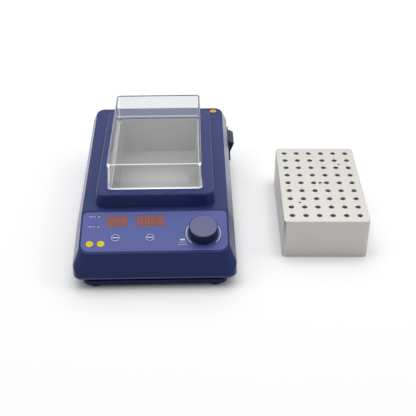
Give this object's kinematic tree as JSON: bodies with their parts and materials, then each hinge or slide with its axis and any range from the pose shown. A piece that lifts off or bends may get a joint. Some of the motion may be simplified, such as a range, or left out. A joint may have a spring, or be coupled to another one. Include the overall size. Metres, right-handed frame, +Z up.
{
  "type": "dry bath incubator",
  "caption": "Bench-top block heater with a sloping control panel, a push-turn knob, a lift-off clear lid over its heated well, and a loose aluminium tube block.",
  "frame": {"origin": "on the bench, in the middle of the instrument's footprint", "axes": "+X to the user's right, +Y to the rear, +Z up"},
  "size_m": [0.3299, 0.294, 0.107],
  "materials": {
    "housing": "fine moulded texture, satin navy blue",
    "tray": "moulded, very dark navy",
    "film": "screen-printed overlay film, satin",
    "knob": "moulded, satin, fluted side",
    "keys": "moulded, satin",
    "clear": "clear moulded acrylic",
    "window": "red filter pane",
    "display": "potted LED display",
    "lamp": "diffused LED lens",
    "block": "bead-blasted, clear anodised",
    "well": "satin anodised",
    "plate": "mill finish sheet",
    "heater": "silicone rubber mat",
    "insulation": "glass-fibre felt",
    "steel": "zinc plated",
    "brass": "turned",
    "black_plastic": "moulded, black",
    "rocker": "moulded, glossy slate blue",
    "board": "solder mask on glass-epoxy",
    "relay_blue": "moulded case",
    "foot": "moulded rubber",
    "fuse_glass": "glass tube"
  },
  "bodies": {
    "instrument": {"base_tray": "tray", "capacitors": "black_plastic", "case_screws": "steel", "collar_screws": "steel", "control_board": "board", "control_board_screws": "steel", "encoder_body": "steel", "encoder_nut": "steel", "heat_sink": "plate", "heater_clamp_plate": "plate", "heater_mat": "heater", "heating_well": "well", "inlet_blades": "steel", "inlet_screws": "steel", "insulation_jacket": "insulation", "insulation_pad": "insulation", "mains_inlet": "black_plastic", "panel_film": "film", "power_board": "board", "power_board_screws": "steel", "power_board_standoffs": "brass", "power_switch_frame": "black_plastic", "probe_jack": "black_plastic", "probe_jack_nut": "steel", "relay": "relay_blue", "rod_socket": "brass", "rod_socket_nut": "brass", "rubber_feet": "foot", "status_lamps": "lamp", "switch_terminals": "brass", "tact_switches": "black_plastic", "temperature_display": "display", "temperature_window": "window", "thermal_cutout": "black_plastic", "timer_display": "display", "timer_window": "window", "transformer": "black_plastic", "triac": "black_plastic", "upper_housing": "housing", "well_collar": "housing", "well_screws": "steel", "well_standoffs": "steel", "well_temperature_probe": "steel"},
    "lid": {"clear_lid": "clear"},
    "block": {"tube_block": "block"},
    "press_disc": {"encoder_thrust_disc": "black_plastic"},
    "knob": {"control_knob": "knob", "encoder_shaft": "steel"},
    "temperature_button": {"temperature_key": "keys"},
    "timer_button": {"timer_key": "keys"},
    "rocker": {"power_rocker": "rocker"},
    "drawer": {"fuse_drawer": "black_plastic", "fuse": "fuse_glass"}
  },
  "joints": [
    {"name": "lid_lift", "type": "slide", "parent": "instrument", "child": "lid", "axis": [0, 0, 1], "range_m": [0, 0.08]},
    {"name": "block_lift", "type": "slide", "parent": "instrument", "child": "block", "axis": [0, 0, 1], "range_m": [0, 0.1]},
    {"name": "knob_press", "type": "slide", "parent": "instrument", "child": "press_disc", "axis": [0, 0.2756, -0.9613], "range_m": [0, 0.0005], "stiffness_N_per_m": 10000},
    {"name": "knob_turn", "type": "hinge", "parent": "press_disc", "child": "knob", "pos_m": [0.0524, -0.1152, 0.05147], "axis": [0, -0.2756, 0.9613], "continuous": true},
    {"name": "temperature_press", "type": "slide", "parent": "instrument", "child": "temperature_button", "axis": [0, 0.2756, -0.9613], "range_m": [0, 0.0003], "stiffness_N_per_m": 6000},
    {"name": "timer_press", "type": "slide", "parent": "instrument", "child": "timer_button", "axis": [0, 0.2756, -0.9613], "range_m": [0, 0.0003], "stiffness_N_per_m": 6000},
    {"name": "rocker_tilt", "type": "hinge", "parent": "instrument", "child": "rocker", "pos_m": [0.0846, 0.095, 0.0384], "axis": [0, -1, 0], "range_deg": [0, 18.6]},
    {"name": "drawer_slide", "type": "slide", "parent": "instrument", "child": "drawer", "axis": [0, 1, 0], "range_m": [0, 0.018]}
  ]
}
